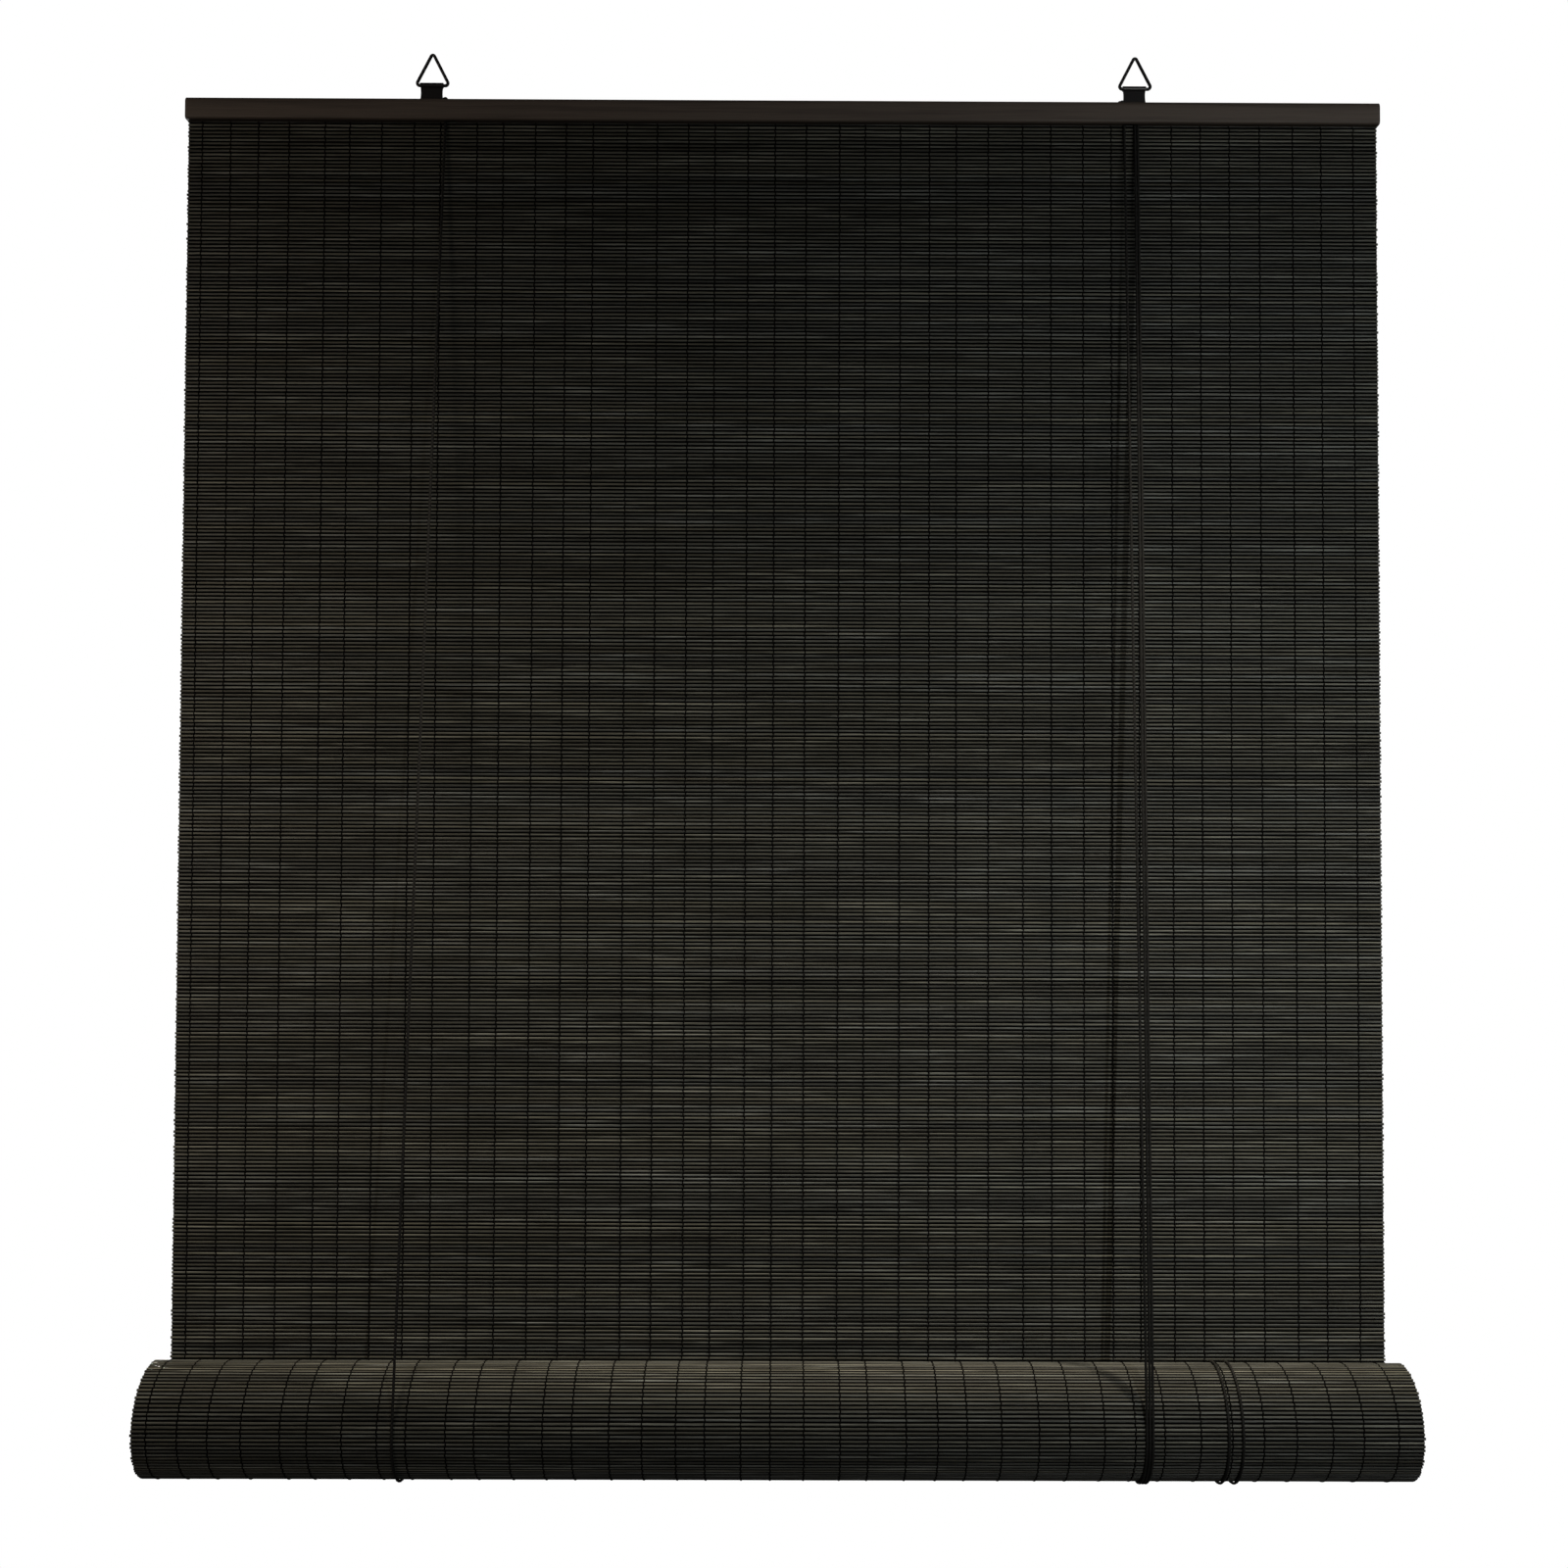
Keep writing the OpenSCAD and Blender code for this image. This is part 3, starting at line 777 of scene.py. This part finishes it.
@dataclass(frozen=True)
class Mat:
    """The slat mat: sizes that its hanging part and its roll share."""

    layout: Layout
    palette: Palette
    slat_tree: SlatTree
    stitch_tree: StitchTree
    pitch: float = 0.0028
    segments: int = 30
    threads: int = 39
    thread_margin: float = 0.0145
    thread_shift: float = -0.0045
    thread_jitter: float = 0.0025
    thread_w: float = 0.0011
    thread_t: float = 0.0009
    thread_out_share: float = 0.45
    stitch_share: float = 1.1
    width_share: float = 0.62
    edge_r: float = 0.00025
    wander: float = 0.0005
    core_t: float = 0.0002
    core_inset: float = 0.0009
    slant: float = 0.2
    stitch_seed: int = 7

    def lay_slats(self, name: str, line: Route, count: int, seed: int) -> Piece:
        """Lays slats along a line.

        Args:
            name: the piece's name.
            line: the mat's middle line.
            count: number of slats.
            seed: seed of their differences.

        Returns:
            The piece.
        """
        return self.slat_tree.bake(polyline(name, line), {
            "Count": count, "Segments": self.segments, "Length": self.layout.width,
            "Width": self.pitch * self.width_share, "Thickness": self.layout.slat_t, "Edge": self.edge_r,
            "Wander": self.wander, "Seed": seed, "Material": self.palette.slats.material()})

    def lay_stitches(self, name: str, line: Route, count: int, side: Side, reach_share: float = 1.0) -> Piece:
        """Lays warp threads over the gaps between the slats, on one face of the mat.

        Args:
            name: the piece's name.
            line: the mat's middle line.
            count: number of slats along it.
            side: the face that they lie on.
            reach_share: share of the gaps that get stitches, from the line's end backwards.

        Returns:
            The piece.
        """
        span = self.layout.width - 2 * self.thread_margin
        length = length_of(line)
        step = length / (count - 1)
        gaps = round((count - 1) * reach_share)
        part = cut(line, length - (gaps - 0.5) * step, length - 0.5 * step)
        return self.stitch_tree.bake(polyline(name, part), {
            "Count": gaps, "Threads": self.threads, "First": self.thread_shift - span / 2,
            "Step": span / (self.threads - 1), "Jitter": self.thread_jitter,
            "Out": side.value * self.layout.slat_t * self.thread_out_share,
            "Size": (self.thread_w, self.thread_t, self.pitch * self.stitch_share), "Slant": self.slant,
            "Seed": self.stitch_seed, "Material": self.palette.thread.material()})

    def lay_core(self, name: str, line: Route) -> Piece:
        """Lays the thin web inside the mat, which closes the gaps between its slats; its near-black colour is
        painted shade for the grooves.

        Args:
            name: the piece's name.
            line: the mat's middle line.

        Returns:
            The web.
        """
        across = Vector((self.layout.width / 2 - self.core_inset, 0, 0))
        corners: Route = []
        for i, point in enumerate(line):
            along = line[min(i + 1, len(line) - 1)] - line[max(i - 1, 0)]
            out = along.cross(Vector((1, 0, 0))).normalized() * self.core_t / 2
            corners += [point - across - out, point + across - out,
                        point + across + out, point - across + out]
        last = 4 * (len(line) - 1)
        faces = [(j + k, j + (k + 1) % 4, j + 4 + (k + 1) % 4, j + 4 + k)
                 for j in range(0, last, 4) for k in range(4)]
        mesh = bpy.data.meshes.new(name)
        mesh.from_pydata(corners, [], faces + [(3, 2, 1, 0), (last, last + 1, last + 2, last + 3)])
        mesh.update()
        # The web takes the near-black thread finish, painted shade in the grooves between the slats.
        return add_object(name, mesh, self.palette.thread)


@dataclass(frozen=True)
class HangingMat:
    """The part of the mat that hangs, with the threads on its two faces."""

    mat: Mat
    seed: int = 11

    def line(self, count: int) -> Route:
        """Returns the middle line from the lowest slat to the highest.

        Args:
            count: number of slats.
        """
        layout = self.mat.layout
        half = (layout.mat_high.z - layout.mat_low.z) / count / 2
        low, high = layout.mat_low.z + half, layout.mat_high.z - half
        return [Vector((0, layout.mat_y, low)), Vector((0, layout.mat_y, high))]

    def dress(self) -> None:
        """Makes the slats, threads and web and hangs them on the headrail, each with a mesh of its own."""
        layout = self.mat.layout
        height = layout.mat_high.z - layout.mat_low.z
        count = round(height / self.mat.pitch)
        line = self.line(count)
        wall = self.mat.lay_slats("hanging_slats", line, count, self.seed)
        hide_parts("hanging_mat")
        front = self.mat.lay_stitches("front_stitches", line, count, Side.FRONT)
        back = self.mat.lay_stitches("back_stitches", line, count, Side.BACK)
        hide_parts("hanging_threads")
        core = self.mat.lay_core("hanging_core", line)
        for piece in (wall, front, back, core):
            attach(piece, Body.HEADRAIL.value)
            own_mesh(piece)


@dataclass(frozen=True)
class RolledMat:
    """The rolled part of the mat: turns that keep their radius and then sink to the next one."""

    mat: Mat
    turn_pitch: float = 0.0022
    turns: float = 3.45
    level_share: float = 0.8
    angle_step: float = 3.0
    first_share: float = 0.6
    tail_len: float = 0.018
    tail_turn_in: float = 20.0
    seed: int = 23

    def radius(self, angle: float) -> float:
        """Returns the radius of the mat's middle.

        Args:
            angle: degrees wound since the mat met the roll.
        """
        turn = math.floor(angle / FULL_TURN)
        part = angle / FULL_TURN - turn
        if part > self.level_share:
            turn += (1 - math.cos(math.pi * (part - self.level_share) / (1 - self.level_share))) / 2
        return self.mat.layout.roll_r - self.mat.layout.slat_t / 2 - self.turn_pitch * turn

    def line(self, end: float) -> Route:
        """Returns the mat's middle line, from the inner end out to where the hanging part begins.

        Args:
            end: degrees wound at the inner end.
        """
        start = math.degrees(self.first_share * self.mat.pitch / self.mat.layout.roll_r)
        count = math.ceil(end / self.angle_step)
        angles = [start + (end - start) * i / count for i in range(count, -1, -1)]
        return [self.mat.layout.on_roll(0.0, self.radius(angle), angle) for angle in angles]

    def dress(self) -> None:
        """Makes the rolled slats and the threads of the outer turn."""
        end = self.turns * FULL_TURN
        line = self.line(end)
        heading = math.radians(end + 90 + self.tail_turn_in)
        flat = Vector((0, math.cos(heading), -math.sin(heading)))
        line = [line[0] + flat * self.tail_len] + line
        length = length_of(line)
        count = round(length / self.mat.pitch)
        roll = self.mat.lay_slats("rolled_slats", line, count, self.seed)
        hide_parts("rolled_mat")
        outer = length_of(self.line(FULL_TURN * self.level_share))
        threads = self.mat.lay_stitches("rolled_stitches", line, count, Side.BACK, outer / length)
        core = self.mat.lay_core("rolled_core", line)
        for piece in (roll, threads, core):
            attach(piece, Body.ROLL.value)


@dataclass(frozen=True)
class Strand:
    """One stretch of cord: the CAD node that it stands for, its body and its route."""

    node: str
    body: Body
    route: Route
    far_end: str = "object"
    lay: str = "taut"


@dataclass(frozen=True)
class LiftCords:
    """The two lift cords and their spare ends, on the routes of the CAD."""

    layout: Layout
    palette: Palette
    diameter: float = 0.002
    left_exit_x: float = -0.255
    left_roll_x: float = -0.268
    right_exit_x: float = 0.262
    right_roll_x: float = 0.258
    left_tail_x: float = 0.313
    right_tail_x: float = 0.323
    bundle_step: float = 0.00216
    inner_bend: float = 0.00408
    outer_bend: float = 0.00616
    cord_y: float = -0.01004
    back_x: float = 0.257
    back_y: float = -0.0035
    roll_gap: float = 0.0011
    lead: float = 0.06
    elbow_r: float = 0.006
    tail_low: float = 40.0
    beside_share: float = 1.2
    tail_end: float = 312.0
    ring_step: float = 0.0011
    wrap_step: float = 1.5
    tail_step: float = 8.0
    elbow_step: float = 10.0
    knot_r: float = 0.003
    twist_share: float = 0.95
    twist_sides: int = 12
    plies: int = 3
    ply_share: float = 0.09
    ply_length: float = 0.0075

    @property
    def wrap_r(self) -> float:
        """Radius of the cords' middle on the roll."""
        return self.layout.roll_r + self.roll_gap

    @property
    def front_touch(self) -> float:
        """Angle at which the front cords meet the roll."""
        return self.layout.touch(self.cord_y, self.layout.under, self.wrap_r, Side.FRONT)

    @property
    def back_touch(self) -> float:
        """Angle at which the cords behind the mat meet the roll."""
        return self.layout.touch(self.back_y, self.layout.under, self.wrap_r, Side.BACK)

    def section(self) -> Sweep:
        """Returns the twisted section of the cord."""
        radius = self.diameter / 2 * self.twist_share
        return Sweep(radius, self.twist_sides, self.plies, self.ply_share, self.ply_length)

    def wrap(self, x: float, start: float, end: float) -> Route:
        """Returns an arc on the roll.

        Args:
            x: place along the roll.
            start: first angle.
            end: last angle.
        """
        count = max(1, math.ceil(abs(end - start) / self.wrap_step))
        angles = [start + (end - start) * i / count for i in range(count + 1)]
        return [self.layout.on_roll(x, self.wrap_r, angle) for angle in angles]

    def exit(self, x: float) -> Vector:
        """Returns the point below the headrail where a front cord comes out."""
        return Vector((x, self.cord_y, self.layout.under))

    def lead_top(self, exit_x: float, roll_x: float) -> Vector:
        """Returns the top of the straight lead that rises with the roll.

        Args:
            exit_x: where the cord leaves the headrail.
            roll_x: where it lies on the roll.
        """
        low = self.layout.on_roll(roll_x, self.wrap_r, self.front_touch)
        way = self.exit(exit_x) - low
        return low + way.normalized() * self.lead

    def fall(self, node: str, exit_x: float, roll_x: float) -> Strand:
        """Returns the stretch from the headrail down to the lead."""
        return Strand(node, Body.HEADRAIL, [self.exit(exit_x), self.lead_top(exit_x, roll_x)])

    def back(self, node: str, exit_x: float, roll_x: float) -> Strand:
        """Returns the stretch behind the mat.

        Args:
            node: the CAD node.
            exit_x: its hole in the rear batten.
            roll_x: where it lies on the roll.
        """
        top = Vector((exit_x, self.back_y, self.layout.top))
        hole = Vector((exit_x, self.back_y, self.layout.under))
        low = self.layout.on_roll(roll_x, self.wrap_r, self.back_touch)
        return Strand(node, Body.HEADRAIL, [top, hole, low])

    def sling(self, node: str, exit_x: float, roll_x: float) -> Strand:
        """Returns the stretch under the roll, from the lead round to the back."""
        under = self.wrap(roll_x, self.front_touch, self.back_touch)
        return Strand(node, Body.SLING, [self.lead_top(exit_x, roll_x)] + under)

    def tail(self, node: str, exit_x: float, roll_x: float, side_x: float, low: float) -> Strand:
        """Returns a spare end: down the roll's front, sideways below it and up over the top.

        Args:
            node: the CAD node.
            exit_x: where the cord leaves the headrail.
            roll_x: where it comes down on the roll.
            side_x: where it goes up again.
            low: angle at which it goes sideways.
        """
        turn = math.radians(low)
        up = Vector((0, math.sin(turn), math.cos(turn))) * self.elbow_r
        across = Vector((self.elbow_r, 0, 0))
        first = self.layout.on_roll(roll_x + self.elbow_r, self.wrap_r, low)
        second = self.layout.on_roll(side_x - self.elbow_r, self.wrap_r, low)
        route = [self.lead_top(exit_x, roll_x)]
        route += self.wrap(roll_x, self.front_touch, low + self.tail_step)
        route += arc(first, across, up, 180.0, 90.0, self.elbow_step)
        route += arc(second, across, up, 90.0, 0.0, self.elbow_step)
        route += self.wrap(side_x, low + self.tail_step, self.tail_end)
        return Strand(node, Body.SLING, route, "knot")

    def strands(self) -> list[Strand]:
        """Returns every stretch that shows."""
        right_in, right_out = self.right_exit_x - self.inner_bend, self.right_exit_x + self.inner_bend
        left_out = self.right_exit_x + self.outer_bend
        lift_x, tail_x = self.right_roll_x - self.bundle_step, self.right_roll_x + self.bundle_step
        beside = math.degrees(self.bundle_step * self.beside_share / self.wrap_r)
        return [
            self.fall("left_cord_front", self.left_exit_x, self.left_roll_x),
            self.fall("right_cord_front", right_in, lift_x),
            self.fall("left_tail_fall", left_out, tail_x),
            self.fall("right_tail_fall", right_out, self.right_roll_x),
            self.back("left_cord_back", -self.back_x, self.left_roll_x),
            self.back("right_cord_back", self.back_x, lift_x),
            self.sling("left_cord_wrap", self.left_exit_x, self.left_roll_x),
            self.sling("right_cord_wrap", right_in, lift_x),
            self.tail("left_tail_wrap", left_out, tail_x, self.left_tail_x, self.tail_low),
            self.tail("right_tail_wrap", right_out, self.right_roll_x, self.right_tail_x,
                      self.tail_low - beside)]

    def dress(self) -> None:
        for strand in self.strands():
            route = densify(strand.route, self.ring_step)
            mesh = self.section().mesh(strand.node, route)
            piece = add_object(strand.node + "_twist", mesh, self.palette.cord)
            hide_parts(strand.node)
            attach(piece, strand.body.value)
            if strand.body is Body.HEADRAIL:
                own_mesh(piece)
            knots = [self.knot("tail_knots", strand.route[-1])] if strand.far_end == "knot" else []

    def knot(self, node: str, at: Vector) -> Piece:
        """Makes the knot at a spare end.

        Args:
            node: the CAD node of the knots.
            at: the end of the cord.

        Returns:
            The knot.
        """
        out = Vector((0, at.y - self.layout.axis_y, at.z - self.layout.axis_z)).normalized()
        ahead = Vector((0, -out.z, out.y))
        if ahead.z > 0:
            ahead = -ahead
        centre = at + out * (self.knot_r - self.diameter / 2) + ahead * self.knot_r
        mesh = knot_mesh("tail_knot", centre, self.knot_r, self.diameter / 2)
        piece = add_object(f"tail_knot_{at.x:.3f}", mesh, self.palette.cord)
        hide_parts(node)
        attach(piece, Body.SLING.value)
        return piece


def knot_mesh(name: str, centre: Vector, outer_r: float, wire_r: float,
              points: int = 96, sides: int = 10) -> bpy.types.Mesh:
    """Makes a tied knot: a cord on a three-leaved loop.

    Args:
        name: the mesh's name.
        centre: middle of the knot.
        outer_r: radius that it keeps within.
        wire_r: radius of the cord.
        points: number of points along it.
        sides: number of its sides.

    Returns:
        The knot's mesh.
    """
    size = (outer_r - wire_r) / 3
    turns = [math.tau * i / points for i in range(points)]
    loop = [centre + size * Vector((math.sin(t) + 2 * math.sin(2 * t), 1.5 * math.sin(3 * t),
                                    math.cos(t) - 2 * math.cos(2 * t))) for t in turns]
    return Sweep(wire_r, sides, closed=True).mesh(name, loop, lambda point: point - centre)


@dataclass(frozen=True)
class Hangers:
    """The wire rings in their straps and the cords' knots on the headrail."""

    palette: Palette
    wire_d: float = 0.0024
    base: float = 0.0256
    height: float = 0.025
    bend: float = 0.002
    tip: float = 0.0014
    ring_step: float = 0.001
    ring_sides: int = 20
    knot_wire_share: float = 0.9

    def loop(self, centre_x: float, y: float, z: float) -> Route:
        """Returns the ring's middle line: a triangle with rounded corners.

        Args:
            centre_x: middle of the ring.
            y: its depth.
            z: height of its lower bar.
        """
        half = self.base / 2
        slope = math.degrees(math.atan2(self.height, half))
        corner = half - self.bend / math.tan(math.radians(slope) / 2)
        apex = self.height - self.tip / math.cos(math.radians(slope))
        across, up = Vector((self.bend, 0, 0)), Vector((0, 0, self.bend))
        tip_across, tip_up = Vector((self.tip, 0, 0)), Vector((0, 0, self.tip))
        origin = Vector((centre_x, y, z))
        right = arc(origin + Vector((corner, 0, self.bend)), across, up, -90, 90 - slope)
        top = arc(origin + Vector((0, 0, apex)), tip_across, tip_up, 90 - slope, 90 + slope)
        left = arc(origin + Vector((-corner, 0, self.bend)), across, up, 90 + slope, 270)
        return densify(right + top + left + [right[0]], self.ring_step)[:-1]

    def dress(self) -> None:
        """Makes the rings and the knots."""
        wire_r = self.wire_d / 2
        for side, body in (("left", Body.LEFT_RING), ("right", Body.RIGHT_RING)):
            low, high = box(f"{side}_hanger_ring")
            loop = self.loop((low.x + high.x) / 2, (low.y + high.y) / 2, low.z + wire_r)
            section = Sweep(wire_r, self.ring_sides, closed=True)
            mesh = section.mesh(f"{side}_ring", loop, lambda point: Vector((0, 1, 0)))
            ring = add_object(f"{side}_ring_wire", mesh, self.palette.steel)
            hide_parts(f"{side}_hanger_ring")
            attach(ring, body.value)
            low, high = box(f"{side}_cord_knot")
            mesh = knot_mesh(f"{side}_knot", (low + high) / 2, (high.z - low.z) / 2,
                             wire_r * self.knot_wire_share)
            knot = add_object(f"{side}_headrail_knot", mesh, self.palette.cord)
            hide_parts(f"{side}_cord_knot")
            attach(knot, Body.HEADRAIL.value)
            log.info("hanger %s", side)


@dataclass(frozen=True)
class CadFinishes:
    """Finishes of the CAD solids that keep their own shape."""

    palette: Palette

    def dress(self) -> None:
        """Gives each kept solid its finish."""
        plan = {
            self.palette.batten: ("front_batten", "rear_batten", "bottom_batten"),
            self.palette.steel: ("left_hanger_strap", "right_hanger_strap", "headrail_screws",
                                 "left_guide_peg", "right_guide_peg"),
            self.palette.cord: ("left_cord_run", "right_cord_turn")}
        for finish, names in plan.items():
            for name in names:
                piece = frame["nodes"][name]
                piece.data.materials.clear()
                piece.data.materials.append(finish.material())
                log.info("finish %s on %s", finish.name, name)


@dataclass(frozen=True)
class PhotoCamera:
    """The camera that was solved on the photo's edges."""

    place: Triple = (-0.0015, -1.2869, -0.5465)
    pitch: float = 1.73
    yaw: float = -0.18
    roll: float = -0.21
    focal_px: float = 1745.0
    image_px: float = 1600.0
    sensor: float = 36.0

    def build(self) -> None:
        """Makes the camera and gives it to the scene."""
        data = bpy.data.cameras.new("photo_camera")
        data.sensor_width = self.sensor
        data.lens = self.sensor * self.focal_px / self.image_px
        camera = bpy.data.objects.new("photo_camera", data)
        turn = Matrix.Identity(4)
        for angle, axis in ((self.yaw, "Z"), (self.pitch, "X"), (self.roll, "Y"), (90.0, "X")):
            turn = turn @ Matrix.Rotation(math.radians(angle), 4, axis)
        camera.matrix_world = Matrix.Translation(self.place) @ turn
        bpy.context.scene.collection.objects.link(camera)
        bpy.context.scene.camera = camera


@dataclass(frozen=True)
class Lamp:
    """A lamp that looks at a point; each kind says what its extent is."""

    name: str
    place: Triple
    aim: Triple
    extent: tuple[float, float]
    power: float
    colour: Colour = (1.0, 1.0, 1.0)

    def hang(self, kind: str, flatness: float = 1.0) -> bpy.types.Light:
        """Puts the lamp into the scene.

        Args:
            kind: AREA or SPOT.
            flatness: the short way of its light over the long way.

        Returns:
            The lamp's data.
        """
        data = bpy.data.lights.new(self.name, kind)
        data.energy = self.power
        data.color = self.colour
        # A ray that meets a small lamp by chance leaves a bright speck.
        data.cycles.use_multiple_importance_sampling = False
        lamp = bpy.data.objects.new(self.name, data)
        turn = (Vector(self.aim) - Vector(self.place)).to_track_quat("-Z", "Y").to_matrix().to_4x4()
        flat = Matrix.Diagonal((1.0, flatness, 1.0, 1.0))
        lamp.matrix_world = Matrix.Translation(self.place) @ turn @ flat
        bpy.context.scene.collection.objects.link(lamp)
        return data


@dataclass(frozen=True)
class AreaLamp(Lamp):
    """A lamp that shines from a rectangle of its extent."""

    spread: float = 180.0

    def build(self) -> None:
        """Makes the lamp."""
        data = self.hang("AREA")
        data.shape = "RECTANGLE"
        data.size, data.size_y = self.extent
        data.spread = math.radians(self.spread)


@dataclass(frozen=True)
class OvalSpot(Lamp):
    """A lamp whose light falls round its aim as a long flat oval of its extent."""

    radius: float = 0.02

    def build(self) -> None:
        """Makes the lamp."""
        long_reach, short_reach = self.extent
        data = self.hang("SPOT", short_reach / long_reach)
        data.spot_size = 2 * math.atan(long_reach / math.dist(self.place, self.aim))
        data.spot_blend = 1.0
        data.shadow_soft_size = self.radius


@dataclass(frozen=True)
class Studio:
    """A white background, a key lamp from the front right, two from above, one on each side, one behind."""

    ambient: float = 0.05
    lamps: tuple[AreaLamp | OvalSpot, ...] = (
        AreaLamp("key", (0.65, -1.9, -0.2), (0.42, 0.0, -0.8), (0.012, 0.012), 2.95, (0.98, 1.0, 0.98), 62.0),
        OvalSpot("above right", (0.42, -0.1, 0.6), (0.42, -0.024, -0.95), (1.8, 0.08), 205.0,
                 (1.0, 0.9, 0.72)),
        OvalSpot("above left", (-0.3, -0.1, 0.6), (-0.3, -0.024, -0.95), (1.8, 0.08), 112.0,
                 (1.0, 0.9, 0.72)),
        AreaLamp("right", (1.3, -1.4, -0.15), (0.6, 0.0, -0.2), (0.5, 0.5), 0.7, (0.96, 1.0, 0.98), 50.0),
        AreaLamp("left", (-1.3, -1.4, -0.15), (-0.6, 0.0, -0.5), (0.5, 0.5), 1.8, (1.0, 0.87, 0.73), 50.0),
        AreaLamp("behind", (-0.9, 2.0, -0.4), (0.0, 0.0, -0.55), (0.8, 0.8), 4.0, spread=80.0))

    def build(self) -> None:
        """Makes the world and the lamps."""
        scene = bpy.context.scene
        scene.view_settings.view_transform = "Standard"
        world = bpy.data.worlds.new("studio")
        world.use_nodes = True
        scene.world = world
        graph = Graph(world.node_tree)
        seen = graph.add("ShaderNodeLightPath").outputs["Is Camera Ray"]
        strength = graph.math("ADD", graph.math("MULTIPLY", seen, 1.0 - self.ambient), self.ambient)
        sky = world.node_tree.nodes["Background"]
        sky.inputs["Color"].default_value = (1.0, 1.0, 1.0, 1.0)
        graph.feed(sky.inputs["Strength"], strength)
        for lamp in self.lamps:
            lamp.build()


def main() -> None:
    """Builds the whole scene."""
    logging.basicConfig(level=logging.INFO, format="%(name)s: %(message)s")
    layout, palette = Layout.from_frame(), Palette()
    PhotoCamera().build()
    LiftCords(layout, palette).dress()
    mat = Mat(layout, palette, SlatTree(), StitchTree())
    HangingMat(mat).dress()
    RolledMat(mat).dress()
    Hangers(palette).dress()
    CadFinishes(palette).dress()
    Studio().build()


if __name__ == "__main__":
    main()
